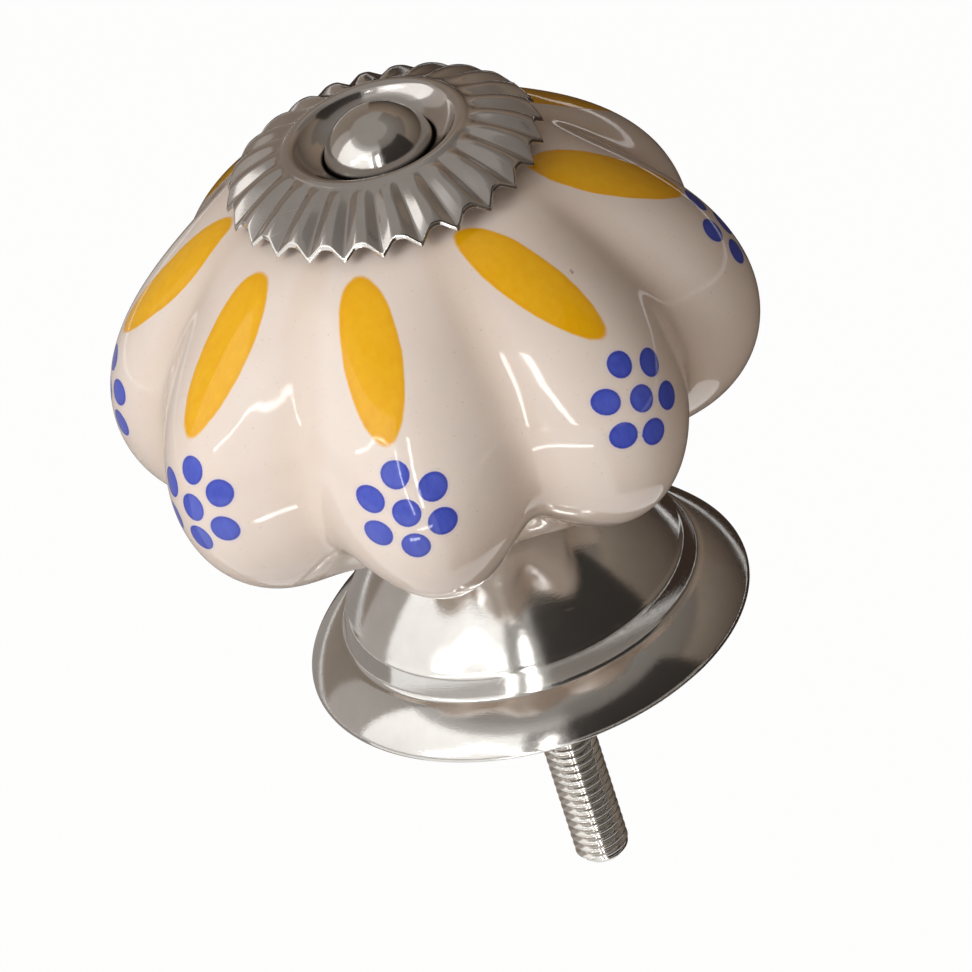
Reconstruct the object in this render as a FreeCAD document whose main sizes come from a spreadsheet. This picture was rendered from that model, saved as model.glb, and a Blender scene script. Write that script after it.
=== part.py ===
import FreeCAD, Part
import math
import os
import Sketcher

# Cabinet knob: a lobed glazed ceramic body on a pressed metal backplate, with a fluted
# metal cap on top and one long screw through the middle that comes out of the back.
# Millimetres. The origin is the centre of the backplate's back plane, and +Z runs along
# the screw, away from the door.

doc = FreeCAD.newDocument("cabinet_knob")
sheet = doc.addObject("Spreadsheet::Sheet", "Dims")

SIZES = [
    # Screw and nut
    ("thread_radius", 2.0),
    ("thread_depth", 0.23),
    ("thread_out", 21.6),
    ("tip_chamfer", 0.6),
    ("head_radius", 3.8),
    ("head_height", 4.35),
    ("head_edge", 1.5),
    ("hole_clearance", 0.25),
    ("nut_flats", 7.0),
    ("nut_height", 3.2),
    ("nut_chamfer", 0.35),
    ("nut_room", 1.1),
    # Backplate: insets are measured in from the rim, drops down from the rim's crown
    ("plate_sheet", 0.8),
    ("rim_radius", 16.0),
    ("rim_side", 1.0),
    ("rim_round_inset", 0.35),
    ("rim_round_drop", 0.35),
    ("rim_crown_inset", 1.0),
    ("rim_crown_height", 2.25),
    ("rim_slope_inset", 1.8),
    ("rim_slope_drop", 0.12),
    ("groove_inset", 2.5),
    ("groove_drop", 0.45),
    ("step_inset", 3.1),
    ("step_height", 3.0),
    ("step_round", 0.45),
    ("dome_inset", 3.7),
    ("dome_rise", 1.5),
    ("dome_middle_reach_share", 0.551),
    ("dome_middle_level_share", 0.550),
    # Ceramic body: its main sizes
    ("foot_radius", 7.4),
    ("foot_height", 11.5),
    ("body_height", 27.75),
    ("widest_radius", 22.9),
    ("widest_level_share", 0.4577),
    ("flat_margin", 1.0),
    ("collar_gap", 0.65),
    # Ceramic body: rings of the crest line below the widest, as shares from the foot to it
    ("heel_reach_share", 0.18),
    ("heel_level_share", 0.083),
    ("under_reach_share", 0.419),
    ("under_level_share", 0.213),
    ("low_reach_share", 0.729),
    ("low_level_share", 0.386),
    ("belly_reach_share", 0.935),
    ("belly_level_share", 0.661),
    # Ceramic body: rings above the widest, as shares from the widest to the collar
    ("upper_reach_share", 0.094),
    ("upper_level_share", 0.308),
    ("high_reach_share", 0.342),
    ("high_level_share", 0.594),
    ("crown_reach_share", 0.675),
    ("crown_level_share", 0.839),
    # Ceramic body: how far each furrow lies inside the crest line, as a share of its radius
    ("furrow_heel_share", 0.07),
    ("furrow_under_share", 0.20),
    ("furrow_low_share", 0.19),
    ("furrow_belly_share", 0.165),
    ("furrow_widest_share", 0.14),
    ("furrow_upper_share", 0.12),
    ("furrow_high_share", 0.105),
    ("furrow_crown_share", 0.07),
    ("furrow_collar_share", 0.02),
    ("furrow_rise_share", 0.150),
    ("furrow_round_share", 0.36),
    ("lobe_angle", -11.9),
    ("moulding_offset", 0.66),
    ("body_hole_room", 0.6),
    # Fluted cap: runs are measured outwards from the recess, rises up from the body's flat
    ("cap_sheet", 0.45),
    ("recess_room", 0.5),
    ("lip_run", 0.85),
    ("lip_rise", 2.6),
    ("shoulder_crown_run", 1.55),
    ("shoulder_crown_rise", 3.15),
    ("shoulder_run", 2.3),
    ("shoulder_rise", 2.95),
    ("flute_tip_radius", 11.2),
    ("flute_tip_rise", 0.35),
    ("flute_crest_inset", 0.5),
    ("flute_crest_rise", 1.2),
    ("flute_bend_share", 0.478),
    ("valley_bend_drop_share", 0.423),
    ("crest_bend_drop_share", 0.343),
    ("flute_crest_share", 0.34),
    ("flute_angle", 204.5),
]
LOBES = 8
FLUTES = 26
POINTS_PER_LOBE = 10

for row, (name, number) in enumerate(SIZES, start=1):
    sheet.set(f"A{row}", name)
    sheet.set(f"B{row}", str(number))
    sheet.setAlias(f"B{row}", name)
doc.recompute()


def size(name):
    """The number of a named size in the sheet."""
    return float(sheet.get(name))


def total(*terms):
    """A signed sum as a number and as an expression. A term is a named size, a named size
    with a minus sign before it, or an earlier sum."""
    number = 0.0
    words = []
    for term in terms:
        if isinstance(term, tuple):
            number += term[0]
            words.append(f"+ ({term[1]})")
            continue
        name = term.lstrip("-")
        sign = -1.0 if term.startswith("-") else 1.0
        number += sign * size(name)
        words.append(("- " if sign < 0 else "+ ") + "Dims." + name)
    return number, " ".join(words)


def part_way(start, end, share):
    """The sum that lies a named share of the way from one sum to another."""
    number = start[0] + (end[0] - start[0]) * size(share)
    return number, f"({start[1]}) + (({end[1]}) - ({start[1]})) * Dims.{share}"


ZERO = (0.0, "0")


def new_body(label):
    body = doc.addObject("PartDesign::Body", label)
    body.Label = label
    return body


def plane_of(body, role):
    """The body's own origin plane with this role."""
    return next(item for item in body.Origin.OriginFeatures if item.Role == role)


def new_sketch(body, name, role):
    sketch = body.newObject("Sketcher::SketchObject", name)
    sketch.AttachmentSupport = (plane_of(body, role), [""])
    sketch.MapMode = "FlatFace"
    return sketch


def pin(sketch, geometry, end, across, along):
    """Tie one point of a sketch to two sums of named sizes."""
    for kind, (number, words) in (("DistanceX", across), ("DistanceY", along)):
        if words == "0":
            on_axis = -2 if kind == "DistanceX" else -1
            sketch.addConstraint(Sketcher.Constraint("PointOnObject", geometry, end, on_axis))
            continue
        index = sketch.addConstraint(Sketcher.Constraint(kind, -1, 1, geometry, end, number))
        sketch.setExpression(f"Constraints[{index}]", words)


def on_dome(start, end, centre_height):
    """The middle of an arc about a point on the axis, from a start on the axis to an end."""
    radius = start.y - centre_height
    half = math.atan2(end.x, end.y - centre_height) / 2
    return FreeCAD.Vector(radius * math.sin(half), centre_height + radius * math.cos(half), 0)


def add_edge(sketch, start, end, marker):
    """Add a line, or an arc past a marked point or about the axis, and say which end starts it."""
    if marker is None:
        return sketch.addGeometry(Part.LineSegment(start, end), False), 1, 2
    if marker == "dome":
        centre_height = (start.y**2 - end.y**2 - end.x**2) / (2 * (start.y - end.y))
        through = on_dome(start, end, centre_height)
    else:
        through = FreeCAD.Vector(marker[0][0], marker[1][0], 0)
    edge = sketch.addGeometry(Part.Arc(start, through, end), False)
    if marker == "dome":
        sketch.addConstraint(Sketcher.Constraint("PointOnObject", edge, 3, -2))
    else:
        point = sketch.addGeometry(Part.Point(through), True)
        pin(sketch, point, 1, marker[0], marker[1])
        sketch.addConstraint(Sketcher.Constraint("PointOnObject", point, 1, edge))
    forwards = sketch.getPoint(edge, 1).distanceToPoint(start) < 1e-6
    return (edge, 1, 2) if forwards else (edge, 2, 1)


def outline(sketch, points):
    """Draw a closed outline of corners (across, along). Between two corners, "dome" asks for
    an arc about the axis, and (across, along, "through") for an arc past that point."""
    corners = [index for index, point in enumerate(points) if point != "dome" and len(point) == 2]
    ends = []
    for place, index in enumerate(corners):
        following = corners[(place + 1) % len(corners)]
        start = FreeCAD.Vector(points[index][0][0], points[index][1][0], 0)
        end = FreeCAD.Vector(points[following][0][0], points[following][1][0], 0)
        marker = points[index + 1] if index + 1 < len(points) and index + 1 != following else None
        edge, start_end, end_end = add_edge(sketch, start, end, marker)
        ends.append((edge, start_end, end_end))
        pin(sketch, edge, start_end, points[index][0], points[index][1])
    for place, (edge, _, end_end) in enumerate(ends):
        after, after_start, _ = ends[(place + 1) % len(ends)]
        sketch.addConstraint(Sketcher.Constraint("Coincident", edge, end_end, after, after_start))


def turned(body, name, points):
    """A solid of revolution about the knob's axis from a closed outline."""
    sketch = new_sketch(body, name + "_outline", "XZ_Plane")
    outline(sketch, points)
    doc.recompute()
    turn = body.newObject("PartDesign::Revolution", name)
    turn.Profile = sketch
    turn.ReferenceAxis = (sketch, ["V_Axis"])
    turn.Angle = 360
    sketch.Visibility = False
    doc.recompute()
    return turn


# Heights and radii that more than one piece uses
foot = total("foot_height")
flat = total("foot_height", "body_height")
recess_floor = total(flat, "cap_sheet")
shank = total("thread_radius", "-thread_depth")
screw_hole = total(shank, "hole_clearance")
nut_under = total(foot, "-plate_sheet", "-nut_height")

# Backplate: one pressed shell with a rolled rim, a groove, a step and a dome
backplate = new_body("backplate")
rim_crown = total("rim_radius", "-rim_crown_inset")
groove = total("rim_radius", "-groove_inset")
groove_floor = total("rim_crown_height", "-groove_drop")
step = total("rim_radius", "-step_inset")
dome_base = total("rim_radius", "-dome_inset")
dome_top = total((size("nut_flats") / 2, "Dims.nut_flats / 2"), "plate_sheet", "nut_room")
dome_start = total("step_height", "dome_rise")
dome_middle = part_way(dome_top, dome_base, "dome_middle_reach_share")
dome_middle_level = part_way(dome_start, foot, "dome_middle_level_share")
turned(
    backplate,
    "pressed_shell",
    [
        (screw_hole, foot),
        (dome_top, foot),
        (dome_middle, dome_middle_level, "through"),
        (dome_base, dome_start),
        (step, total("step_height")),
        (groove, groove_floor),
        (total("rim_radius", "-rim_slope_inset"), total("rim_crown_height", "-rim_slope_drop"), "through"),
        (rim_crown, total("rim_crown_height")),
        (total("rim_radius", "-rim_round_inset"), total("rim_crown_height", "-rim_round_drop"), "through"),
        (total("rim_radius"), total("rim_side")),
        (total("rim_radius"), ZERO),
        (total("rim_radius", "-plate_sheet"), ZERO),
        (total("rim_radius", "-plate_sheet"), total("rim_side")),
        (rim_crown, total("rim_crown_height", "-plate_sheet")),
        (groove, total(groove_floor, "-plate_sheet")),
        (total(step, "-plate_sheet"), total(groove_floor, "-plate_sheet")),
        (total(step, "-plate_sheet"), total("step_height", "-step_round")),
        (total(dome_base, "-plate_sheet"), total(dome_start, "-step_round")),
        (total(dome_middle, "-plate_sheet"), total(dome_middle_level, "-step_round"), "through"),
        (total(dome_top, "-plate_sheet"), total(foot, "-plate_sheet")),
        (screw_hole, total(foot, "-plate_sheet")),
    ],
)

# Screw: a smooth domed head, a plain shank and a thread drawn at its full diameter
screw = new_body("screw")
turned(
    screw,
    "screw_blank",
    [
        (ZERO, total(recess_floor, "head_height")),
        "dome",
        (total("head_radius"), total(recess_floor, "head_edge")),
        (total("head_radius"), recess_floor),
        (shank, recess_floor),
        (shank, nut_under),
        (total("thread_radius"), nut_under),
        (total("thread_radius"), total("-thread_out", "tip_chamfer")),
        (total("thread_radius", "-tip_chamfer"), total("-thread_out")),
        (ZERO, total("-thread_out")),
    ],
)

# Clamp nut: a hexagon nut inside the dome that pulls the pieces together
nut = new_body("clamp_nut")
hexagon = new_sketch(nut, "nut_outline", "XY_Plane")
hexagon.AttachmentOffset = FreeCAD.Placement(FreeCAD.Vector(0, 0, nut_under[0]), FreeCAD.Rotation())
hexagon.setExpression("AttachmentOffset.Base.z", nut_under[1])
corner_reach = size("nut_flats") / math.sqrt(3)
hexagon_corners = [
    FreeCAD.Vector(corner_reach * math.cos(math.radians(60 * step)), corner_reach * math.sin(math.radians(60 * step)), 0)
    for step in range(6)
]
for step in range(6):
    hexagon.addGeometry(Part.LineSegment(hexagon_corners[step], hexagon_corners[(step + 1) % 6]), False)
guide = hexagon.addGeometry(Part.Circle(FreeCAD.Vector(), FreeCAD.Vector(0, 0, 1), corner_reach), True)
for step in range(6):
    hexagon.addConstraint(Sketcher.Constraint("Coincident", step, 2, (step + 1) % 6, 1))
    hexagon.addConstraint(Sketcher.Constraint("PointOnObject", step, 1, guide))
for step in range(5):
    hexagon.addConstraint(Sketcher.Constraint("Equal", step, step + 1))
hexagon.addConstraint(Sketcher.Constraint("Coincident", guide, 3, -1, 1))
hexagon.addConstraint(Sketcher.Constraint("PointOnObject", 0, 1, -1))
across_corners = hexagon.addConstraint(Sketcher.Constraint("Radius", guide, corner_reach))
hexagon.setExpression(f"Constraints[{across_corners}]", "Dims.nut_flats / sqrt(3)")
doc.recompute()
nut_pad = nut.newObject("PartDesign::Pad", "nut_blank")
nut_pad.Profile = hexagon
nut_pad.Length = size("nut_height")
nut_pad.setExpression("Length", "Dims.nut_height")
hexagon.Visibility = False
doc.recompute()
nut_hole_sketch = new_sketch(nut, "nut_hole_outline", "XY_Plane")
nut_circle = nut_hole_sketch.addGeometry(
    Part.Circle(FreeCAD.Vector(), FreeCAD.Vector(0, 0, 1), shank[0]), False
)
nut_hole_sketch.addConstraint(Sketcher.Constraint("Coincident", nut_circle, 3, -1, 1))
nut_hole_radius = nut_hole_sketch.addConstraint(Sketcher.Constraint("Radius", nut_circle, shank[0]))
nut_hole_sketch.setExpression(f"Constraints[{nut_hole_radius}]", shank[1])
doc.recompute()
nut_hole = nut.newObject("PartDesign::Pocket", "nut_hole")
nut_hole.Profile = nut_hole_sketch
nut_hole.Type = 1
nut_hole.Midplane = True
nut_hole_sketch.Visibility = False
doc.recompute()
for name, face, way in (("lower", nut_under, ""), ("upper", total(foot, "-plate_sheet"), "-")):
    inner = (size("nut_flats") / 2, "Dims.nut_flats / 2")
    outer = total("nut_flats")
    rise = 1 if way == "" else -1
    far = (face[0] + rise * size("nut_chamfer") * 4, face[1] + (" + " if rise > 0 else " - ") + "4 * Dims.nut_chamfer")
    slope = new_sketch(nut, f"nut_{name}_slope", "XZ_Plane")
    past = (face[0] - rise * size("nut_chamfer"), face[1] + (" - " if rise > 0 else " + ") + "Dims.nut_chamfer")
    outline(slope, [(inner, face), (outer, far), (outer, past), (inner, past)])
    doc.recompute()
    turn = nut.newObject("PartDesign::Groove", f"nut_{name}_chamfer")
    turn.Profile = slope
    turn.ReferenceAxis = (slope, ["V_Axis"])
    turn.Angle = 360
    slope.Visibility = False
    doc.recompute()


# Ceramic body: rings from the foot to the flat, each a closed curve that swells at the lobes
def lobed_ring(radius, height, furrow, rise):
    """A closed ring of eight lobes. Furrow is the share of the radius lost between two lobes,
    and rise is how much higher the furrow runs than the lobe's crest."""
    rounding = size("furrow_round_share")
    widest = math.sqrt(1 + rounding**2)
    count = LOBES * POINTS_PER_LOBE
    points = []
    for step in range(count):
        turn = 2 * math.pi * step / count
        crest = math.sqrt(math.cos(LOBES / 2 * turn) ** 2 + rounding**2)
        depth = (widest - crest) / (widest - rounding)
        reach = radius * (1 - furrow * depth)
        points.append(FreeCAD.Vector(reach * math.cos(turn), reach * math.sin(turn), height + rise * depth))
    curve = Part.BSplineCurve()
    curve.interpolate(Points=points, PeriodicFlag=True, Parameters=[step / count for step in range(count + 1)])
    return Part.Wire(curve.toShape())


widest = (size("widest_radius"), part_way(foot, flat, "widest_level_share")[0])
collar = (size("flute_tip_radius"), total(flat, "flute_tip_rise", "-cap_sheet", "-collar_gap")[0])
flat_radius = total("head_radius", "recess_room", "shoulder_run", "flat_margin")[0]
furrow_rise = (widest[1] - foot[0]) * size("furrow_rise_share")


def ring_between(start, end, name, rise):
    """The ring with this name, part of the way from one ring's radius and height to another's."""
    radius = start[0] + (end[0] - start[0]) * size(name + "_reach_share")
    height = start[1] + (end[1] - start[1]) * size(name + "_level_share")
    return lobed_ring(radius, height, size(f"furrow_{name}_share"), rise)


foot_edge = (size("foot_radius"), foot[0])
rings = [
    lobed_ring(*foot_edge, 0, 0),
    ring_between(foot_edge, widest, "heel", furrow_rise / 3),
    ring_between(foot_edge, widest, "under", furrow_rise),
    ring_between(foot_edge, widest, "low", furrow_rise),
    ring_between(foot_edge, widest, "belly", furrow_rise / 2),
    lobed_ring(*widest, size("furrow_widest_share"), 0),
    ring_between(widest, collar, "upper", 0),
    ring_between(widest, collar, "high", 0),
    ring_between(widest, collar, "crown", 0),
    lobed_ring(*collar, size("furrow_collar_share"), 0),
    lobed_ring(flat_radius, flat[0], 0, 0),
]
melon = doc.addObject("Part::Feature", "melon")
melon.Shape = Part.makeLoft(rings, True, False, False)
melon.Placement = FreeCAD.Placement(
    FreeCAD.Vector(-size("moulding_offset"), 0, 0),
    FreeCAD.Rotation(FreeCAD.Vector(0, 0, 1), size("lobe_angle")),
)
body_hole = doc.addObject("Part::Cylinder", "body_hole")
body_hole.setExpression("Radius", "Dims.thread_radius + Dims.body_hole_room")
body_hole.setExpression("Height", "Dims.foot_height + Dims.body_height + Dims.lip_rise")
ceramic = doc.addObject("Part::Cut", "knob_body")
ceramic.Label = "knob_body"
ceramic.Base = melon
ceramic.Tool = body_hole
doc.recompute()

# Fluted cap: a recess for the screw's head and a rounded shoulder, turned from one outline
recess = total("head_radius", "recess_room")
lip = total(recess, "lip_run")
lip_level = total(flat, "lip_rise")
crown = total(recess, "shoulder_crown_run")
crown_level = total(flat, "shoulder_crown_rise")
shoulder = total(recess, "shoulder_run")
shoulder_level = total(flat, "shoulder_rise")
cap_centre = new_body("cap_centre")
turned(
    cap_centre,
    "cap_shoulder",
    [
        (screw_hole, flat),
        (total(recess, "cap_sheet"), flat),
        (total(lip, "cap_sheet"), total(lip_level, "-cap_sheet")),
        (crown, total(crown_level, "-cap_sheet"), "through"),
        (shoulder, total(shoulder_level, "-cap_sheet")),
        (shoulder, shoulder_level),
        (crown, crown_level, "through"),
        (lip, lip_level),
        (recess, recess_floor),
        (screw_hole, recess_floor),
    ],
)


# Fluted cap: the skirt, three facets to a flute (two flat sides and a rounded crest)
def around(radius, turn, height):
    return FreeCAD.Vector(radius * math.cos(turn), radius * math.sin(turn), height)


def flute_edges(tip_radius, tip_height, crest_radius, crest_height, index, drop):
    """The three edges of one flute at one distance from the axis: side, crest, side."""
    pitch = 2 * math.pi / FLUTES
    start = math.radians(size("flute_angle")) + index * pitch
    half = size("flute_crest_share") * pitch / 2
    middle = start + pitch / 2
    level = crest_height - drop
    side = level - (crest_height - tip_height) * size("flute_crest_share") / 3
    left = around(crest_radius, middle - half, side)
    right = around(crest_radius, middle + half, side)
    first = around(tip_radius, start, tip_height - drop)
    last = around(tip_radius, start + pitch, tip_height - drop)
    crest = Part.Arc(left, around(crest_radius, middle, level), right).toShape()
    return [Part.makeLine(first, left), crest, Part.makeLine(right, last)]


def shoulder_edges(index, drop):
    """The same three edges where they start, on the shoulder's own circle."""
    pitch = 2 * math.pi / FLUTES
    start = math.radians(size("flute_angle")) + index * pitch
    half = size("flute_crest_share") * pitch / 2
    middle = start + pitch / 2
    stops = [start, middle - half, middle + half, start + pitch]
    radius = shoulder[0]
    height = shoulder_level[0] - drop
    return [
        Part.Arc(around(radius, a, height), around(radius, (a + b) / 2, height), around(radius, b, height)).toShape()
        for a, b in zip(stops, stops[1:])
    ]


TIP = (size("flute_tip_radius"), total(flat, "flute_tip_rise")[0])
CREST = (size("flute_tip_radius") - size("flute_crest_inset"), total(flat, "flute_crest_rise")[0])


def bend_sizes():
    """Where the skirt bends down: its radius, the valley's height, its radius, the crest's height."""
    radius = shoulder[0] + (TIP[0] - shoulder[0]) * size("flute_bend_share")
    valley = shoulder_level[0] + (TIP[1] - shoulder_level[0]) * size("valley_bend_drop_share")
    crest = shoulder_level[0] + (CREST[1] - shoulder_level[0]) * size("crest_bend_drop_share")
    return radius, valley, radius, crest


faces = []
for index in range(FLUTES):
    lines = {}
    for side, drop in (("top", 0.0), ("under", size("cap_sheet"))):
        inner = shoulder_edges(index, drop)
        middle = flute_edges(*bend_sizes(), index, drop)
        outer = flute_edges(*TIP, *CREST, index, drop)
        lines[side] = (inner, outer)
        for near, far in ((inner, middle), (middle, outer)):
            faces.extend(Part.makeRuledSurface(a, b) for a, b in zip(near, far))
    fall = FreeCAD.Vector(0, 0, -size("cap_sheet"))
    for edge in lines["top"][0] + lines["top"][1]:
        faces.append(edge.extrude(fall))
skirt_shell = Part.makeShell(faces)
skirt_shell.sewShape()
skirt = doc.addObject("Part::Feature", "cap_skirt")
skirt.Shape = Part.makeSolid(skirt_shell)
cap = doc.addObject("Part::MultiFuse", "fluted_cap")
cap.Label = "fluted_cap"
cap.Shapes = [cap_centre, skirt]
cap.Refine = False
doc.recompute()

# Every object is checked before its file is written
PARTS = [ceramic, cap, screw, backplate, nut]
for item in doc.Objects:
    if any(word in state for state in item.State for word in ("Invalid", "Error")):
        raise SystemExit(f"{item.Label} is not valid: {item.State}")
os.makedirs("parts", exist_ok=True)
for part in PARTS:
    shape = part.Shape
    if shape.isNull() or not shape.isValid() or len(shape.Solids) != 1:
        raise SystemExit(f"{part.Label} is not one valid solid")
    shape.exportStep(f"parts/{part.Label}.step")
    box = shape.BoundBox
    print(part.Label, round(shape.Volume, 1), [round(v, 2) for v in (box.XMin, box.XMax, box.YMin, box.YMax, box.ZMin, box.ZMax)])
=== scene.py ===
import math

import bmesh
import bpy
import numpy as np
from mathutils import Matrix, Vector


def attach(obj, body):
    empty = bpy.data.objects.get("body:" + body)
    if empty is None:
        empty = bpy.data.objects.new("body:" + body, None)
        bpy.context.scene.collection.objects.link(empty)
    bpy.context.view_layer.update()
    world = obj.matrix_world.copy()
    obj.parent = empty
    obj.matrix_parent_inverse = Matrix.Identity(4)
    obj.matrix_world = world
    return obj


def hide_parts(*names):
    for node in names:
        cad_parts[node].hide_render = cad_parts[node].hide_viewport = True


# Cabinet knob: a lobed glazed ceramic body with painted petals and dots, a fluted cap, a
# domed backplate and a long threaded screw. Shapes are worked out in millimetres and
# written to the meshes in metres. +Z runs along the screw, away from the door.

MM = 0.001
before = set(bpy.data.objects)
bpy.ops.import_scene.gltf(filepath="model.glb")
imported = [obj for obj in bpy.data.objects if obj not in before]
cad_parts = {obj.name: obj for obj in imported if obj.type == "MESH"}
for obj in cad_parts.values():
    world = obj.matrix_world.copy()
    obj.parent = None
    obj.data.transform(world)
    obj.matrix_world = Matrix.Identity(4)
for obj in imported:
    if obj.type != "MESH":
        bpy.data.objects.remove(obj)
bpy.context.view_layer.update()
scene = bpy.context.scene


# Camera, fitted to the photograph. Lengths are in millimetres
ELEVATION = math.radians(34.1)
ROLL = math.radians(-17.8)
DISTANCE = 519.0
AIM = Vector((0.0, 0.0, 22.0))
SIDE, LIFT = -2.45, 8.02
SENSOR = 36.0
FOCAL_PIXELS, PHOTO_PIXELS = 7500.0, 972.0

forward = Vector((0.0, math.cos(ELEVATION), -math.sin(ELEVATION)))
level = Vector((1.0, 0.0, 0.0))
upright = Vector((0.0, math.sin(ELEVATION), math.cos(ELEVATION)))
right = math.cos(ROLL) * level + math.sin(ROLL) * upright
above = -math.sin(ROLL) * level + math.cos(ROLL) * upright
place = (AIM - SIDE * right - LIFT * above - DISTANCE * forward) * MM

camera_data = bpy.data.cameras.new("camera")
camera_data.sensor_width = SENSOR
camera_data.lens = FOCAL_PIXELS * SENSOR / PHOTO_PIXELS
camera_data.clip_start = 0.01
camera_data.clip_end = 20.0
camera = bpy.data.objects.new("camera", camera_data)
camera.matrix_world = Matrix(
    (
        (right.x, above.x, -forward.x, place.x),
        (right.y, above.y, -forward.y, place.y),
        (right.z, above.z, -forward.z, place.z),
        (0.0, 0.0, 0.0, 1.0),
    )
)
scene.collection.objects.link(camera)
scene.camera = camera
scene.view_settings.view_transform = "Standard"


# Mesh helpers
def ring_faces(rows, columns, closed_rows=False):
    """Quads of a grid of rows of points, each row closed on itself."""
    first = np.arange(rows if closed_rows else rows - 1)[:, None] * columns
    second = (np.arange(1, (rows if closed_rows else rows - 1) + 1) % rows)[:, None] * columns
    here = np.arange(columns)[None, :]
    there = (here + 1) % columns
    quads = np.stack([first + here, first + there, second + there, second + here], axis=-1)
    return quads.reshape(-1, 4)


def make_object(name, points_mm, faces):
    """A smooth object from points in millimetres, with its faces turned outwards."""
    mesh = bpy.data.meshes.new(name)
    mesh.from_pydata((np.asarray(points_mm) * MM).tolist(), [], [list(face) for face in faces])
    mesh.validate()
    work = bmesh.new()
    work.from_mesh(mesh)
    bmesh.ops.recalc_face_normals(work, faces=work.faces)
    work.to_mesh(mesh)
    work.free()
    mesh.shade_smooth()
    made = bpy.data.objects.new(name, mesh)
    scene.collection.objects.link(made)
    return made


def add_values(made, name, values):
    """A number at each point of the mesh, for its material."""
    attribute = made.data.attributes.new(name, "FLOAT", "POINT")
    attribute.data.foreach_set("value", np.asarray(values, dtype=np.float32).ravel())


def arc_points(start, through, end, spacing=0.12):
    """Points on the circle through three points, without the first one."""
    (ax, ay), (bx, by), (cx, cy) = start, through, end
    d = 2 * (ax * (by - cy) + bx * (cy - ay) + cx * (ay - by))
    ux = ((ax**2 + ay**2) * (by - cy) + (bx**2 + by**2) * (cy - ay) + (cx**2 + cy**2) * (ay - by)) / d
    uy = ((ax**2 + ay**2) * (cx - bx) + (bx**2 + by**2) * (ax - cx) + (cx**2 + cy**2) * (bx - ax)) / d
    radius = math.hypot(ax - ux, ay - uy)
    first = math.atan2(ay - uy, ax - ux)
    sweep = (math.atan2(cy - uy, cx - ux) - first) % (2 * math.pi)
    halfway = (math.atan2(by - uy, bx - ux) - first) % (2 * math.pi)
    if halfway > sweep:
        sweep -= 2 * math.pi
    count = max(2, int(abs(sweep) * radius / spacing))
    angles = [first + sweep * step / count for step in range(1, count + 1)]
    return [(ux + radius * math.cos(angle), uy + radius * math.sin(angle)) for angle in angles]


def line_points(start, end, spacing=0.12):
    """Evenly spaced points on a line, without the first one."""
    count = max(1, int(math.dist(start, end) / spacing))
    return [
        (start[0] + (end[0] - start[0]) * step / count, start[1] + (end[1] - start[1]) * step / count)
        for step in range(1, count + 1)
    ]


def profile(points, spacing=0.12):
    """An open line of points. A point with a third value is one that an arc passes through."""
    line = [points[0][:2]]
    index = 1
    while index < len(points):
        if len(points[index]) == 3:
            line += arc_points(line[-1], points[index][:2], points[index + 1][:2], spacing)
            index += 2
        else:
            line += line_points(line[-1], points[index], spacing)
            index += 1
    return np.array(line)


def soften(line, reach):
    """The same line with its corners rounded a little and its ends kept."""
    padded = np.concatenate([np.repeat(line[:1], reach, 0), line, np.repeat(line[-1:], reach, 0)])
    weights = np.exp(-((np.arange(-reach, reach + 1) / (reach / 1.8)) ** 2) / 2)
    weights /= weights.sum()
    soft = sum(w * padded[i : i + len(line)] for i, w in enumerate(weights))
    soft[0], soft[-1] = line[0], line[-1]
    return soft


def level_row(radius, turns, height):
    """Points round the axis, at one radius and one height."""
    return np.stack([radius * np.cos(turns), radius * np.sin(turns), np.full(len(turns), height)], -1)


def lathe(name, line, columns):
    """A turned piece from a closed line of (radius, height)."""
    turns = np.linspace(0, 2 * np.pi, columns, endpoint=False)
    rows = [level_row(radius, turns, height) for radius, height in line]
    return make_object(name, np.concatenate(rows), ring_faces(len(line), columns, True))


# Ceramic body
LOBE_TURN = math.radians(-11.9)
BODY_SHIFT = -0.66
FURROW_ROUND = 0.36
HOLE = 2.6
EIGHTH = math.pi / 4
# Crest rings from the flat down to the foot: radius, height, furrow share, furrow rise
RINGS = np.array(
    [
        (7.6, 39.25, 0.0, 0.0),
        (11.2, 38.5, 0.02, 0.0),
        (15.0, 36.2, 0.07, 0.0),
        (18.9, 32.7, 0.105, 0.0),
        (21.8, 28.6, 0.12, 0.0),
        (22.9, 24.2, 0.14, 0.0),
        (21.9, 19.9, 0.165, 0.95),
        (18.7, 16.4, 0.19, 1.9),
        (13.9, 14.2, 0.20, 1.9),
        (10.19, 12.55, 0.07, 0.635),
        (7.4, 11.5, 0.0, 0.0),
    ]
)
COLUMNS = 560
ROWS = 160


def natural_spline(knots, values, wanted):
    """A smooth curve through the values at the knots, read at the wanted places."""
    count = len(knots)
    gaps = np.diff(knots)
    matrix = np.zeros((count, count))
    target = np.zeros_like(values)
    matrix[0, 0] = matrix[-1, -1] = 1.0
    for i in range(1, count - 1):
        matrix[i, i - 1] = gaps[i - 1]
        matrix[i, i] = 2 * (gaps[i - 1] + gaps[i])
        matrix[i, i + 1] = gaps[i]
        target[i] = 6 * ((values[i + 1] - values[i]) / gaps[i] - (values[i] - values[i - 1]) / gaps[i - 1])
    bends = np.linalg.solve(matrix, target)
    k = np.clip(np.searchsorted(knots, wanted) - 1, 0, count - 2)
    a = ((knots[k + 1] - wanted) / gaps[k])[:, None]
    b = 1 - a
    h = gaps[k][:, None]
    return a * values[k] + b * values[k + 1] + ((a**3 - a) * bends[k] + (b**3 - b) * bends[k + 1]) * h**2 / 6


def furrow_depth(turns):
    """0 on a lobe's crest, 1 at the bottom of a furrow."""
    widest = math.sqrt(1 + FURROW_ROUND**2)
    crest = np.sqrt(np.cos(4 * turns) ** 2 + FURROW_ROUND**2)
    return (widest - crest) / (widest - FURROW_ROUND)


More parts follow.
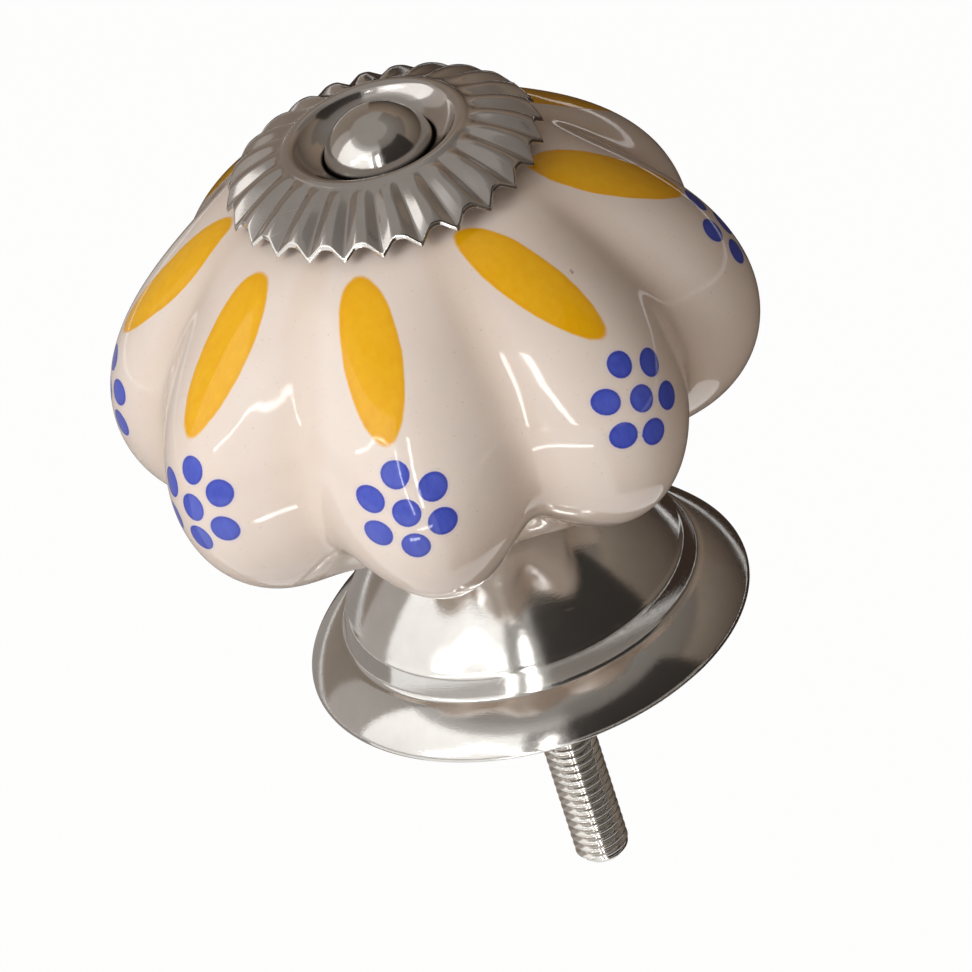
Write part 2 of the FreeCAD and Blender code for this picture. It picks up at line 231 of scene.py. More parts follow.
turns = np.linspace(0, 2 * np.pi, COLUMNS, endpoint=False)
depth = furrow_depth(turns)
reach = np.concatenate([[0], np.cumsum(np.hypot(np.diff(RINGS[:, 0]), np.diff(RINGS[:, 1])))])
down = np.linspace(0, reach[-1], ROWS)
radii = natural_spline(reach, RINGS[:, 0:1] * (1 - RINGS[:, 2:3] * depth[None]), down)
heights = natural_spline(reach, RINGS[:, 1:2] + RINGS[:, 3:4] * depth[None], down)
heights = np.clip(heights, RINGS[-1, 1], RINGS[0, 1])
angles = turns + LOBE_TURN
skin = np.stack([radii * np.cos(angles) + BODY_SHIFT, radii * np.sin(angles), heights], -1)


def between(first, second, share):
    return first + (second - first) * share


top_hole = level_row(HOLE, angles, RINGS[0, 1])
foot_hole = level_row(HOLE, angles, RINGS[-1, 1])
rows = [top_hole, between(top_hole, skin[0], 0.5), between(top_hole, skin[0], 0.94)]
FLAT_ROWS = len(rows)
rows += list(skin)
rows += [between(skin[-1], foot_hole, 0.08), between(skin[-1], foot_hole, 0.5), foot_hole]
rows += [between(foot_hole, top_hole, share) for share in (0.04, 0.35, 0.65, 0.96)]
body_points = np.concatenate(rows)
body = make_object("ceramic_body", body_points, ring_faces(len(rows), COLUMNS, True))

# Painted petals, one per lobe: three points of the middle line (across the lobe, down from
# the flat's edge) and the half width. Lobes are counted from the lobe on the +X side.
PETALS = [
    ((-1.75, 3.1), (-0.8, 8.6), (1.4, 14.6), 2.2),
    ((-1.2, 3.0), (-0.7, 9.0), (-0.2, 15.0), 2.0),
    ((0.4, 3.2), (0.2, 9.4), (-0.3, 15.6), 2.05),
    ((1.6, 2.9), (2.0, 8.9), (0.9, 15.2), 1.95),
    ((1.7, 2.7), (2.2, 8.9), (0.6, 15.6), 1.85),
    ((0.4, 3.9), (0.4, 10.0), (-0.36, 16.2), 2.08),
    ((-0.98, 3.8), (-0.77, 10.0), (-0.71, 15.8), 2.06),
    ((-1.9, 2.9), (-1.1, 9.2), (0.17, 14.9), 2.0),
]
# Painted dots, seven per lobe: their centres and radii
DOT_RADII = (0.97, 1.0, 1.0, 1.0, 1.0, 1.03, 1.02, 0.97)
DOTS = [
    [(1.55, 18.4), (1.55, 15.8), (3.8, 17.2), (3.8, 19.6), (1.6, 21.0), (-0.39, 19.7), (-0.74, 17.2)],
    [(-0.2, 20.0), (-0.3, 17.4), (2.1, 18.8), (2.0, 21.3), (-0.2, 22.4), (-2.4, 21.2), (-2.3, 18.7)],
    [(0.1, 20.3), (0.0, 17.7), (2.4, 19.0), (2.2, 21.6), (0.1, 22.8), (-2.3, 21.5), (-2.2, 19.0)],
    [(0.5, 20.0), (0.6, 17.4), (2.9, 18.9), (2.8, 21.4), (0.5, 22.5), (-1.9, 21.2), (-1.8, 18.7)],
    [(0.7, 20.4), (0.8, 17.8), (3.0, 19.4), (3.1, 21.9), (0.7, 22.9), (-1.7, 21.8), (-1.6, 19.2)],
    [(0.4, 21.0), (0.38, 18.3), (2.67, 19.6), (2.73, 22.3), (0.5, 23.4), (-2.35, 22.8), (-2.13, 20.1)],
    [(-0.39, 20.5), (-0.56, 17.8), (1.72, 19.2), (1.77, 21.7), (-0.4, 23.0), (-2.73, 21.9), (-2.66, 19.4)],
    [(0.08, 19.7), (-0.01, 16.95), (2.17, 18.3), (2.14, 20.9), (-0.15, 22.2), (-2.21, 21.3), (-2.23, 18.65)],
]
# Dark specks in the glaze: lobe, place across and down, and radius
SPECKS = [(7, 1.73, 10.2, 0.17), (7, 2.22, 7.4, 0.11), (5, -3.2, 12.5, 0.08), (0, -3.0, 19.5, 0.1)]

# How far each point of the skin is from paint, in millimetres. BARE stands for no paint near
BARE = 5.0
lobe = np.round(turns / EIGHTH).astype(int) % 8
around = (turns - np.round(turns / EIGHTH) * math.pi / 4)[None, :] * radii
along = np.repeat(down[:, None], COLUMNS, 1)
petal_mm = np.full_like(radii, BARE)
dot_mm = np.full_like(radii, BARE)
speck_mm = np.full_like(radii, BARE)
for k in range(8):
    mine = lobe == k
    top, middle, bottom, half = PETALS[k]
    length = bottom[1] - top[1]
    v = (along[:, mine] - top[1]) / length
    bow = middle[0] - (top[0] + bottom[0]) / 2
    line = top[0] + (bottom[0] - top[0]) * v + bow * 4 * v * (1 - v)
    out = np.hypot((around[:, mine] - line) / half, 2 * v - 1)
    petal_mm[:, mine] = (out - 1) * half
    far = [np.hypot(around[:, mine] - x, along[:, mine] - y) for x, y in DOTS[k]]
    dot_mm[:, mine] = np.min(far, axis=0) - DOT_RADII[k]
for k, x, y, radius in SPECKS:
    mine = lobe == k
    near = np.hypot(around[:, mine] - x, along[:, mine] - y) - radius
    speck_mm[:, mine] = np.minimum(speck_mm[:, mine], near)


def over_body(values, plain):
    """Values on the glazed skin, with a plain value on the flat, the foot and the hole."""
    before = np.full((FLAT_ROWS, COLUMNS), plain)
    after = np.full((len(rows) - FLAT_ROWS - ROWS, COLUMNS), plain)
    return np.concatenate([before, values, after])


add_values(body, "petal_mm", over_body(petal_mm, BARE))
add_values(body, "dot_mm", over_body(dot_mm, BARE))
add_values(body, "speck_mm", over_body(speck_mm, BARE))
add_values(body, "furrow", over_body(np.repeat(depth[None], ROWS, 0), 0.0))
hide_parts("knob_body")
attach(body, "root")


# Backplate
plate_top = profile(
    [
        (2.02, 11.5),
        (5.4, 11.5),
        (9.15, 8.35, "through"),
        (12.2, 4.62),
        (12.31, 4.55, "through"),
        (12.36, 4.4),
        (12.55, 3.8, "through"),
        (12.79, 3.15),
        (12.95, 2.88, "through"),
        (13.25, 2.76),
        (14.77, 1.637, "through"),
        (16.0, 0.2),
        (16.0, 0.0),
    ],
    0.06,
)
plate_under = profile(
    [
        (15.2, 0.0),
        (15.2, 0.45),
        (14.8, 0.95),
        (13.5, 1.0),
        (12.1, 1.0),
        (12.1, 2.55),
        (11.5, 4.05),
        (8.4, 7.9, "through"),
        (4.6, 10.7),
        (2.02, 10.7),
    ],
    0.3,
)
backplate = lathe("domed_backplate", np.concatenate([soften(plate_top, 4), plate_under]), 224)
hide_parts("backplate")
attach(backplate, "root")


# Screw
PITCH = 0.7
THREAD, MIDDLE, CORE = 2.0, 1.77, 1.6
THREAD_TOP, TIP = 7.5, -21.6
STEPS = 48
RUN_OUT = 0.5
TIP_RADIUS = 1.4
# Across one pitch: the root's flat, the flank, the crest's flat and the other flank
WINDS = [(0.0, CORE), (0.10, CORE), (0.18, CORE + 0.06), (0.42, THREAD - 0.04), (0.5, THREAD)]
WINDS += [(0.62, THREAD), (0.7, THREAD - 0.04), (0.94, CORE + 0.06)]


def thread_points():
    """The winding grid of the thread, fading to the shank at its top and cut to a cone at its tip."""
    turns_needed = int((THREAD_TOP - TIP) / PITCH) + 3
    points = []
    for step in range(STEPS * turns_needed + 1):
        angle = 2 * math.pi * step / STEPS
        for share, radius in WINDS:
            z = TIP - PITCH + PITCH * (step / STEPS + share)
            start = min(1.0, max(0.0, (THREAD_TOP - z) / RUN_OUT))
            r = MIDDLE + (radius - MIDDLE) * start
            r = min(r, TIP_RADIUS + max(0.0, z - TIP))
            z = min(max(z, TIP), THREAD_TOP)
            points.append((r * math.cos(angle), r * math.sin(angle), z))
    return np.array(points), STEPS * turns_needed


thread_grid, thread_steps = thread_points()
width = len(WINDS)
thread_faces = []
for step in range(thread_steps):
    for j in range(width):
        here = step * width + j
        if j < width - 1:
            thread_faces.append((here, here + width, here + width + 1, here + 1))
        elif step + STEPS < thread_steps:
            up = (step + STEPS) * width
            thread_faces.append((here, here + width, up + width, up))
head_line = profile(
    [
        (MIDDLE, THREAD_TOP),
        (MIDDLE, 39.7),
        (3.8, 39.7),
        (3.8, 41.2),
        (2.78, 42.91, "through"),
        (0.02, 44.05),
    ],
    0.18,
)
upper_turns = 2 * np.pi * np.arange(STEPS) / STEPS
upper = []
for r, z in head_line:
    upper += [(r * math.cos(a), r * math.sin(a), z) for a in upper_turns]
base = len(thread_grid)
upper_faces = [tuple(int(i) + base for i in face) for face in ring_faces(len(head_line), STEPS)]
screw_points = np.concatenate([thread_grid, np.array(upper)])
screw_mesh = bpy.data.meshes.new("fixing_screw")
screw_mesh.from_pydata((screw_points * MM).tolist(), [], thread_faces + upper_faces)
# The thread, the shank and the head are joined into one closed surface
work = bmesh.new()
work.from_mesh(screw_mesh)
bmesh.ops.remove_doubles(work, verts=work.verts, dist=2e-6)
bmesh.ops.dissolve_degenerate(work, edges=work.edges, dist=1e-6)
loose = [v for v in work.verts if not v.link_faces]
bmesh.ops.delete(work, geom=loose, context="VERTS")
bmesh.ops.holes_fill(work, edges=[e for e in work.edges if e.is_boundary], sides=0)
bmesh.ops.recalc_face_normals(work, faces=work.faces)
work.to_mesh(screw_mesh)
work.free()
screw_mesh.shade_smooth()
screw = bpy.data.objects.new("fixing_screw", screw_mesh)
scene.collection.objects.link(screw)
# Where the head's foot is shut in by the cap, its metal is painted dark: painted shade in the gap
levels = np.array([point.co.z for point in screw_mesh.vertices]) / MM
reaches = np.array([math.hypot(point.co.x, point.co.y) for point in screw_mesh.vertices]) / MM
crevice_shade = np.clip((41.32 - levels) / 0.15, 0, 1) * (reaches > 3.0) * (levels > 39.0)
add_values(screw, "crevice_shade", crevice_shade)
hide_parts("screw")
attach(screw, "root")


# Fluted cap
FLUTES = 26
FLUTE_TURN = math.radians(204.5)
PER_FLUTE = 24
SHEET = 0.32
SKIRT_ROWS = 26
CREST_SHARE = 0.34
PRESSED = 0.1
BEVEL = 0.05
cap_columns = FLUTES * PER_FLUTE
cap_turns = np.arange(cap_columns) * 2 * np.pi / cap_columns + FLUTE_TURN


def flute_shape(u):
    """Height across one flute: 0 at the valleys, 1 along the rounded crest."""
    side = (1 - CREST_SHARE) / 2
    rise = np.clip(np.minimum(u, 1 - u) / side, 0, 1)
    crown = np.clip((0.5 - np.abs(u - 0.5) - side) / (0.5 - side), 0, 1)
    return rise * 0.9 + 0.1 * (1 - (1 - crown) ** 2)


def rounded_flute(reach_share):
    """The same with its creases rounded over a small share of the flute."""
    u = np.arange(PER_FLUTE) / PER_FLUTE
    total = np.zeros(PER_FLUTE)
    for offset in np.linspace(-reach_share, reach_share, 9):
        total += flute_shape((u + offset) % 1.0)
    return total / 9


flute = np.tile(rounded_flute(0.022), FLUTES)
cap_middle = soften(
    profile(
        [
            (2.02, 39.7),
            (3.95, 39.7),
            (3.95, 41.0),
            (4.7, 41.3, "through"),
            (5.65, 42.27),
            (5.85, 42.38, "through"),
            (6.6, 42.2),
        ],
        0.09,
    ),
    2,
)
cap_rows = [level_row(radius, cap_turns, height) for radius, height in cap_middle]
# Lines down the skirt, in a valley and on a crest: their start, a point at the share BEND, their end
BEND = 0.478
VALLEY = ((6.6, 42.2), (8.8, 41.1), (11.2, 39.6))
CREST = ((6.6, 42.2), (8.8, 41.6), (10.7, 40.45))


def along_line(three, t):
    """The point at share t of a bent line through three points."""
    weights = ((t - BEND) * (t - 1) / BEND, t * (t - 1) / (BEND * (BEND - 1)), t * (t - BEND) / (1 - BEND))
    return [sum(w * point[i] for w, point in zip(weights, three)) for i in (0, 1)]


for step in range(1, SKIRT_ROWS + 1):
    down_share = step / SKIRT_ROWS
    valley, crest = along_line(VALLEY, down_share), along_line(CREST, down_share)
    pressed = PRESSED * min(1.0, step / 3) * (1 - down_share)
    r = valley[0] + (crest[0] - valley[0]) * flute
    z = valley[1] - pressed * 0.6 + (crest[1] - valley[1] + pressed) * flute
    cap_rows.append(np.stack([r * np.cos(cap_turns), r * np.sin(cap_turns), z], -1))


def lowered(row, drop):
    return row + np.array([0, 0, -drop])


top_count = len(cap_rows)
edge = cap_rows[-1].copy()
under = [lowered(row, SHEET) for row in cap_rows[::-1][:SKIRT_ROWS]]
cap_rows[-1] = between(edge, cap_rows[-2], 0.1)
rim = [lowered(edge, drop) for drop in (BEVEL, SHEET / 2, SHEET - BEVEL)]
under_middle = profile(
    [(6.6, 41.75), (5.85, 41.95, "through"), (5.6, 41.4), (4.75, 39.25), (2.02, 39.25)], 0.2
)
cap_rows += rim + under
cap_rows += [level_row(radius, cap_turns, height) for radius, height in under_middle]
cap = make_object("pressed_cap", np.concatenate(cap_rows), ring_faces(len(cap_rows), cap_columns, True))
# 1 on the cut edge of the sheet, and 1 in the foot of the recess, where the metal gets painted shade
cut = np.zeros((len(cap_rows), cap_columns))
cut[top_count - 1 : top_count + 4] = 1.0
add_values(cap, "cut_edge", cut)
dish = np.hypot(np.concatenate(cap_rows)[:, 0], np.concatenate(cap_rows)[:, 1])
add_values(cap, "crevice_shade", np.clip((4.15 - dish) / 0.15, 0, 1))
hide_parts("fluted_cap")
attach(cap, "root")


# Materials
class Nodes:
    """Short calls for the nodes of one material or world."""

    def __init__(self, owner):
        owner.use_nodes = True
        self.tree = owner.node_tree
        self.tree.nodes.clear()

    def add(self, kind, **settings):
        made = self.tree.nodes.new("ShaderNode" + kind)
        for name, value in settings.items():
            setattr(made, name, value)
        return made

    def join(self, source, target):
        self.tree.links.new(source, target)

    def fill(self, made, **values):
        """Sets inputs by name, or by number as i0, i1 and so on."""
        for name, value in values.items():
            numbered = name[0] == "i" and name[1:].isdigit()
            socket = made.inputs[int(name[1:]) if numbered else name]
            if isinstance(value, bpy.types.NodeSocket):
                self.join(value, socket)
            else:
                socket.default_value = value
        return made

    def math(self, operation, first, second):
        made = self.add("Math", operation=operation)
        return self.fill(made, i0=first, i1=second).outputs[0]

    def range(self, value, low, high, new_low=0.0, new_high=1.0, smooth=False):
        kind = "SMOOTHSTEP" if smooth else "LINEAR"
        made = self.add("MapRange", interpolation_type=kind, clamp=True)
        return self.fill(made, i0=value, i1=low, i2=high, i3=new_low, i4=new_high).outputs[0]

    def mix(self, share, first, second):
        made = self.add("Mix", data_type="RGBA")
        return self.fill(made, i0=share, i6=first, i7=second).outputs[2]

    def noise(self, scale, detail, roughness, vector):
        made = self.add("TexNoise")
        self.fill(made, Scale=scale, Detail=detail, Roughness=roughness, Vector=vector)
        return made.outputs["Fac"]

    def value(self, name):
        return self.add("Attribute", attribute_name=name).outputs["Fac"]

    def finish(self, shader, target="OutputMaterial"):
        output = self.add(target)
        self.join(shader, output.inputs["Surface"])


def colour(red, green, blue):
    """A colour written as the eye reads it (0 to 255), as the shader takes it."""
    shades = []
    for value in (red, green, blue):
        value /= 255
        shades.append(value / 12.92 if value <= 0.04045 else ((value + 0.055) / 1.055) ** 2.4)
    return (*shades, 1.0)


def glaze_material():
    """A cream glaze over brushed yellow petals and blue dots."""
    material = bpy.data.materials.new("painted_glaze")
    n = Nodes(material)
    where = n.add("TexCoord").outputs["Object"]
    broad = n.noise(90.0, 3.0, 0.5, where)
    fine = n.noise(900.0, 4.0, 0.6, where)
    petal, dot, speck, furrow = (n.value(name) for name in ("petal_mm", "dot_mm", "speck_mm", "furrow"))

    glaze = n.mix(n.range(broad, 0.35, 0.65), colour(244, 233, 225), colour(239, 226, 216))
    # Painted shade with some glaze pooling: a darker, warmer tone towards the bottoms of the furrows
    glaze = n.mix(n.range(furrow, 0.55, 1.0, 0.0, 0.35, True), glaze, colour(226, 207, 188))
    dusty = n.range(n.noise(4200.0, 2.0, 0.5, where), 0.69, 0.76)
    glaze = n.mix(n.math("MULTIPLY", dusty, 0.35), glaze, colour(186, 160, 136))

    wobble = n.math("MULTIPLY", n.math("SUBTRACT", n.noise(700.0, 3.0, 0.5, where), 0.5), 0.16)
    petal = n.math("ADD", petal, wobble)
    dot = n.math("ADD", dot, n.math("MULTIPLY", wobble, 0.35))
    petal_mask = n.range(petal, 0.07, -0.07, 0.0, 1.0, True)
    dot_mask = n.range(dot, 0.02, -0.06, 0.0, 1.0, True)

    streaks = n.add("Mapping")
    n.fill(streaks, Vector=where, Scale=(1.0, 1.0, 0.25))
    brush = n.noise(1500.0, 4.0, 0.65, streaks.outputs[0])
    yellow = n.mix(n.range(brush, 0.3, 0.7), colour(251, 193, 24), colour(245, 182, 10))
    yellow = n.mix(n.range(petal, -0.5, -0.05, 0.0, 0.35, True), yellow, colour(236, 166, 14))
    blue = n.mix(n.range(brush, 0.3, 0.7), colour(84, 102, 214), colour(70, 86, 198))
    blue = n.mix(n.range(dot, -0.35, -0.05, 0.0, 0.5, True), blue, colour(58, 68, 176))
    halo = n.range(dot, 0.3, 0.05, 0.0, 0.25, True)

    shade = n.mix(halo, glaze, colour(214, 208, 226))
    shade = n.mix(petal_mask, shade, yellow)
    shade = n.mix(dot_mask, shade, blue)
    shade = n.mix(n.range(speck, 0.05, -0.05, 0.0, 0.8, True), shade, colour(96, 66, 44))

    ripple = n.noise(140.0, 2.0, 0.45, where)
    raised = n.math("ADD", n.math("MULTIPLY", ripple, 0.9), n.math("MULTIPLY", fine, 0.06))
    paint = n.math("MULTIPLY", n.math("MAXIMUM", petal_mask, dot_mask), 0.12)
    raised = n.math("ADD", raised, paint)
    bump = n.fill(n.add("Bump"), Strength=0.35, Distance=0.0002, Height=raised)

    shader = n.add("BsdfPrincipled")
    n.fill(
        shader,
        **{
            "Base Color": shade,
            "Roughness": n.range(fine, 0.3, 0.7, 0.035, 0.09),
            "Normal": bump.outputs[0],
        },
    )
    shader.inputs["IOR"].default_value = 1.47
    shader.inputs["Coat Weight"].default_value = 0.15
    shader.inputs["Coat Roughness"].default_value = 0.03
    shader.inputs["Subsurface Weight"].default_value = 0.12
    shader.inputs["Subsurface Radius"].default_value = (1.0, 0.7, 0.5)
    shader.inputs["Subsurface Scale"].default_value = 0.0012
    n.finish(shader.outputs[0])
    return material


def metal_material(name, light, dark, low, high, stretch, edge=False, crevice_shade=False):
    """A polished plated metal: cloudy gloss, fine turning marks and small scratches, with painted shade in
    shut-in gaps where asked.
    """
    material = bpy.data.materials.new(name)
    n = Nodes(material)
    where = n.add("TexCoord").outputs["Object"]
    mapped = n.fill(n.add("Mapping"), Vector=where, Scale=stretch).outputs[0]
    cloud = n.noise(220.0, 5.0, 0.6, where)
    marks = n.noise(2600.0, 4.0, 0.6, mapped)
    scratch_map = n.add("Mapping")
    n.fill(scratch_map, Vector=where, Rotation=(0.6, 0.3, 0.9), Scale=(0.08, 1.6, 0.5))
    scratch = n.range(n.noise(2400.0, 2.0, 0.5, scratch_map.outputs[0]), 0.66, 0.74)

    shade = n.mix(n.range(cloud, 0.3, 0.7), light, dark)
    shade = n.mix(n.math("MULTIPLY", scratch, 0.3), shade, colour(214, 210, 204))
    gloss = n.range(cloud, 0.3, 0.7, low, high)
    gloss = n.math("ADD", gloss, n.math("MULTIPLY", n.math("SUBTRACT", marks, 0.5), (high - low) * 0.8))
    gloss = n.math("ADD", gloss, n.math("MULTIPLY", scratch, 0.12))
    if edge:
        cut_share = n.value("cut_edge")
        shade = n.mix(cut_share, shade, colour(224, 220, 214))
        gloss = n.math("MULTIPLY", gloss, n.range(cut_share, 0.0, 1.0, 1.0, 0.7))
    if crevice_shade:
        # Painted shade: dark, rougher metal where the parts shut each other in
        painted_shade_share = n.value("crevice_shade")
        shade = n.mix(n.math("MULTIPLY", painted_shade_share, 0.93), shade, colour(46, 39, 33))
        gloss = n.math("ADD", gloss, n.math("MULTIPLY", painted_shade_share, 0.3))
    height = n.math("ADD", n.math("MULTIPLY", cloud, 0.7), n.math("MULTIPLY", marks, 0.25))
    bump = n.fill(n.add("Bump"), Strength=0.2, Distance=0.00008, Height=height)
    shader = n.add("BsdfPrincipled")
    n.fill(shader, **{"Base Color": shade, "Roughness": gloss, "Normal": bump.outputs[0]})
    shader.inputs["Metallic"].default_value = 1.0
    n.finish(shader.outputs[0])
    return material


body.data.materials.append(glaze_material())
backplate.data.materials.append(
    metal_material("plated_backplate", colour(227, 225, 221), colour(216, 213, 208), 0.06, 0.15, (1, 1, 6))
)
screw.data.materials.append(
    metal_material(
        "plated_screw", colour(226, 223, 218), colour(212, 207, 201), 0.07, 0.17, (1, 1, 4), crevice_shade=True
    )
)
cap.data.materials.append(
    metal_material(
        "plated_cap",
        colour(222, 217, 213),
        colour(206, 200, 195),
        0.09,
        0.18,
        (1, 1, 3),
        edge=True,
        crevice_shade=True,
    )
)
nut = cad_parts["clamp_nut"]
nut.data.materials.clear()
nut.data.materials.append(
    metal_material("plated_nut", colour(196, 194, 190), colour(176, 172, 166), 0.22, 0.38, (1, 1, 2))
)


# Floor, backdrop and light
def light_path_share(n):
    """1 for the rays that show the background: from the camera, a mirror or glass."""
    path = n.add("LightPath")
    seen = n.math("MAXIMUM", path.outputs["Is Camera Ray"], path.outputs["Is Glossy Ray"])
    return n.math("MAXIMUM", seen, path.outputs["Is Transmission Ray"])


def floor_material():
    """A pale floor that the camera sees as the white backdrop."""
    material = bpy.data.materials.new("pale_floor")
    n = Nodes(material)
    where = n.add("TexCoord").outputs["Object"]
    patches = n.range(n.noise(3.0, 3.0, 0.5, where), 0.3, 0.7)
    tone = n.mix(patches, colour(212, 205, 198), colour(206, 199, 191))
    plain = n.fill(n.add("BsdfDiffuse"), Color=tone)
    shown = n.fill(n.add("Emission"), Color=(1, 1, 1, 1), Strength=1.03)
    both = n.add("MixShader")
    n.fill(both, i0=n.math("MULTIPLY", light_path_share(n), 0.94), i1=plain.outputs[0], i2=shown.outputs[0])
    n.finish(both.outputs[0])
    return material


floor_mesh = bpy.data.meshes.new("studio_floor")
SPAN, FLOOR_HEIGHT = 4.0, -0.075
corners = ((-SPAN, -SPAN), (SPAN, -SPAN), (SPAN, SPAN), (-SPAN, SPAN))
floor_mesh.from_pydata([(x, y, FLOOR_HEIGHT) for x, y in corners], [], [(0, 1, 2, 3)])
floor = bpy.data.objects.new("studio_floor", floor_mesh)
scene.collection.objects.link(floor)
floor.data.materials.append(floor_material())

world = bpy.data.worlds.new("studio")
scene.world = world
n = Nodes(world)
heading = n.add("TexCoord").outputs["Generated"]
toward = n.fill(n.add("VectorMath", operation="DOT_PRODUCT"), i0=heading, i1=(-0.62, -0.62, 0.48))
toward = toward.outputs["Value"]
brown = n.mix(n.range(toward, -0.6, 0.3, 0.0, 1.0, True), (0.06, 0.03, 0.013, 1), (0.2, 0.148, 0.104, 1))
ambient = n.mix(n.range(toward, 0.0, 0.92, 0.0, 1.0, True), brown, (0.57, 0.55, 0.53, 1))
height = n.add("SeparateXYZ")
n.join(heading, height.inputs[0])
risen = n.range(height.outputs["Z"], 0.22, 0.62, 0.0, 1.0, True)
backdrop = n.mix(risen, (1, 1, 1, 1), (0.34, 0.32, 0.3, 1))
around_light = n.fill(n.add("Background"), Color=ambient, Strength=1.0)
shown = n.fill(n.add("Background"), Color=backdrop, Strength=1.0)
both = n.add("MixShader")
n.fill(both, i0=light_path_share(n), i1=around_light.outputs[0], i2=shown.outputs[0])
n.finish(both.outputs[0], "OutputWorld")


# Lamps and cards are placed from the middle of the knob, in metres
KNOB_MIDDLE = Vector((0, 0, 0.02))
LYING_HEIGHT = Vector((0, 0, -0.0745))
CARD_RADIUS, STRIP_RADIUS = 0.7, 0.66
CARD_WIDE, CARD_TALL = 25, 13
BRIGHT = (11.0, 11.0, 11.0)


def direction(azimuth, elevation):
    a, e = math.radians(azimuth), math.radians(elevation)
    return Vector((math.cos(e) * math.cos(a), math.cos(e) * math.sin(a), math.sin(e)))


def card(name, points, faces, tones):
    """A studio card that is seen only in what it is mirrored by, with a tone at each corner."""
    mesh = bpy.data.meshes.new(name)
    mesh.from_pydata([tuple(point) for point in points], [], faces)
    made = bpy.data.objects.new(name, mesh)
    scene.collection.objects.link(made)
    attribute = mesh.attributes.new("tone", "FLOAT_COLOR", "POINT")
    attribute.data.foreach_set("color", [value for tone in tones for value in (*tone, 1.0)])
    material = bpy.data.materials.new(name)
    nodes = Nodes(material)
    tone = nodes.add("Attribute", attribute_name="tone")
    glow = nodes.fill(nodes.add("Emission"), Color=tone.outputs["Color"], Strength=1.0)
    nodes.finish(glow.outputs[0])
    mesh.materials.append(material)
    made.visible_camera = False
    made.visible_diffuse = False
    made.visible_shadow = False


def grid_faces(wide, tall):
    quads = []
    for j in range(tall - 1):
        for i in range(wide - 1):
            first = j * wide + i
            quads.append((first, first + 1, first + wide + 1, first + wide))
    return quads


def standing_card(name, azimuths, elevations, tones, radius=CARD_RADIUS):
    """A curved card round the knob. Its tones are given at its foot and at its top."""
    points, shades = [], []
    for j in range(CARD_TALL):
        for i in range(CARD_WIDE):
            azimuth = azimuths[0] + (azimuths[1] - azimuths[0]) * i / (CARD_WIDE - 1)
            elevation = elevations[0] + (elevations[1] - elevations[0]) * j / (CARD_TALL - 1)
            points.append(direction(azimuth, elevation) * radius + KNOB_MIDDLE)
            shades.append([low + (high - low) * j / (CARD_TALL - 1) for low, high in zip(*tones)])
    card(name, points, grid_faces(CARD_WIDE, CARD_TALL), shades)


def lying_card(name, azimuths, radii, tone):
    """A card that lies on the floor."""
    points = []
    for radius in radii:
        for i in range(CARD_WIDE):
            azimuth = azimuths[0] + (azimuths[1] - azimuths[0]) * i / (CARD_WIDE - 1)
            points.append(direction(azimuth, 0) * radius + LYING_HEIGHT)
    card(name, points, grid_faces(CARD_WIDE, len(radii)), [tone] * len(points))


def strip_card(name, line, width):
    """A thin bright strip along a line of azimuths and elevations."""
    points = []
    for side in (0, 1):
        for azimuth, elevation in line:
            toward = direction(azimuth + width[0] * side, elevation + width[1] * side)
            points.append(toward * STRIP_RADIUS + KNOB_MIDDLE)
    card(name, points, grid_faces(len(line), 2), [BRIGHT] * len(points))


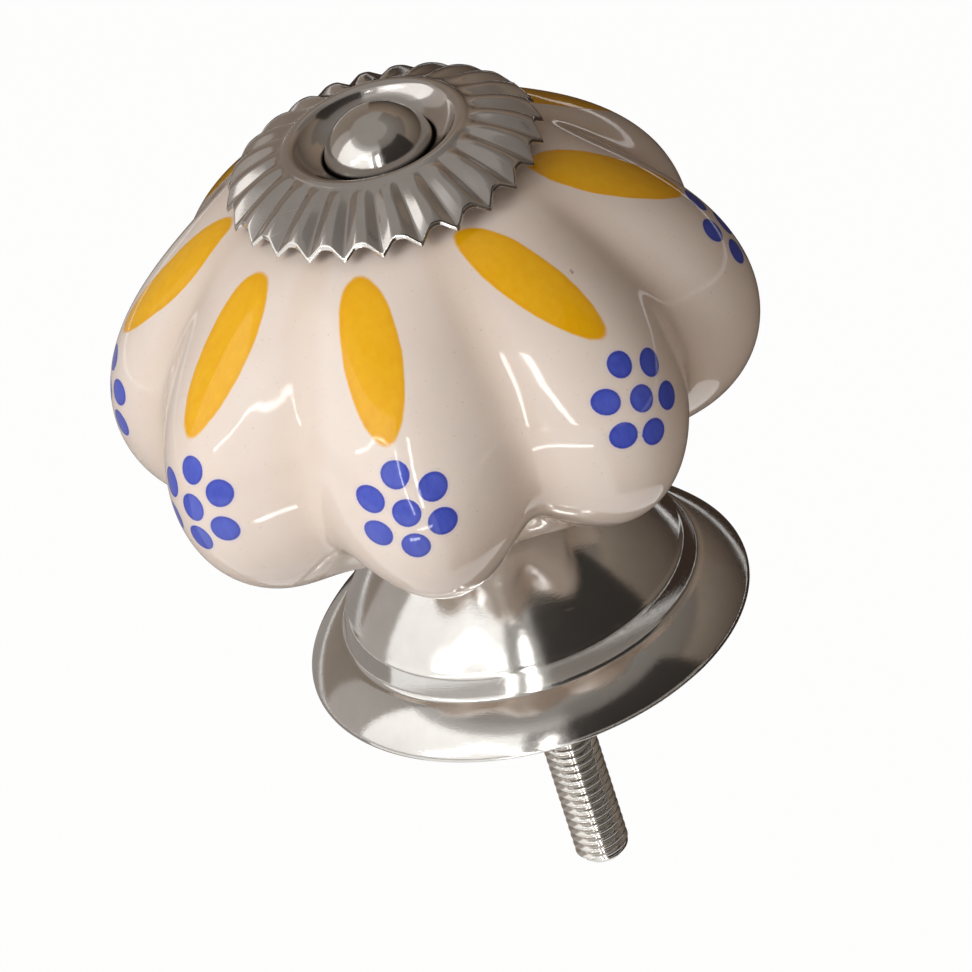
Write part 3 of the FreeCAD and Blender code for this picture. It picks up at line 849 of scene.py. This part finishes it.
# Directions are azimuth and elevation in degrees, and a tone is given at a card's foot and top
standing_card("window_card", (-196, -114), (8, 47), ((1.12, 1.1, 1.08), (1.3, 1.29, 1.27)))
standing_card("window_sill_card", (-196, -114), (-5, 9), ((0.5, 0.47, 0.45), (0.66, 0.63, 0.61)))
standing_card("window_side_card", (-222, -196), (-5, 47), ((0.5, 0.46, 0.43), (0.4, 0.37, 0.345)))
standing_card("window_top_card", (-196, -88), (47, 58), ((0.62, 0.6, 0.58), (0.4, 0.385, 0.37)))
standing_card("left_card", (88, 139), (-5, 46), ((0.29, 0.245, 0.21), (0.25, 0.205, 0.17)))
standing_card("front_card", (-114, -90), (-5, 47), ((0.46, 0.44, 0.42), (0.34, 0.325, 0.31)))
standing_card("dark_flag", (-90, -14), (13, 50), ((0.03, 0.026, 0.023), (0.045, 0.04, 0.036)))
standing_card("low_card", (-90, -14), (-5, 13), ((0.16, 0.14, 0.125), (0.36, 0.335, 0.305)))
standing_card("brown_card", (-14, 40), (-5, 36), ((0.045, 0.031, 0.024), (0.25, 0.205, 0.165)))
standing_card("brown_back_card", (40, 88), (-5, 44), ((0.035, 0.025, 0.02), (0.3, 0.235, 0.185)))
standing_card("right_top_card", (-88, 64), (32, 68), ((0.15, 0.125, 0.105), (0.25, 0.235, 0.22)), 0.75)
strip_card("left_strip", [(-119, 34), (-117, 20), (-114, 6), (-111, -6)], (1.8, 0))
strip_card("left_top_strip", [(-124, 33), (-131, 35.5), (-140, 34.5), (-150, 26), (-162, 19)], (0, 1.8))
strip_card("right_strip", [(-101.5, 39), (-103, 25), (-101.5, 12), (-100, -2)], (3.2, 0))
lying_card("left_foot_strip", (-124, -112), (0.205, 0.23), BRIGHT)
lying_card("right_foot_strip", (-112, -94), (0.3, 0.335), BRIGHT)
lying_card("brown_floor_card", (-20, 104), (0.05, 0.75), (0.042, 0.028, 0.021))
lying_card("left_floor_card", (104, 170), (0.05, 0.75), (0.34, 0.31, 0.29))
lying_card("front_floor_card", (-88, -20), (0.05, 0.75), (0.07, 0.056, 0.047))


def lamp(name, azimuth, elevation, distance, wide, tall, power, tint=(1, 1, 1)):
    data = bpy.data.lights.new(name, "AREA")
    data.shape = "RECTANGLE"
    data.size, data.size_y = wide, tall
    data.energy = power
    data.color = tint
    made = bpy.data.objects.new(name, data)
    away = direction(azimuth, elevation)
    made.location = away * distance + KNOB_MIDDLE
    made.rotation_euler = away.to_track_quat("Z", "Y").to_euler()
    made.visible_glossy = False
    scene.collection.objects.link(made)


lamp("key_lamp", -141, 34, 0.62, 0.3, 0.22, 1.87, (1.0, 0.97, 0.95))
lamp("front_lamp", -100, 6, 0.66, 0.2, 0.16, 0.3)
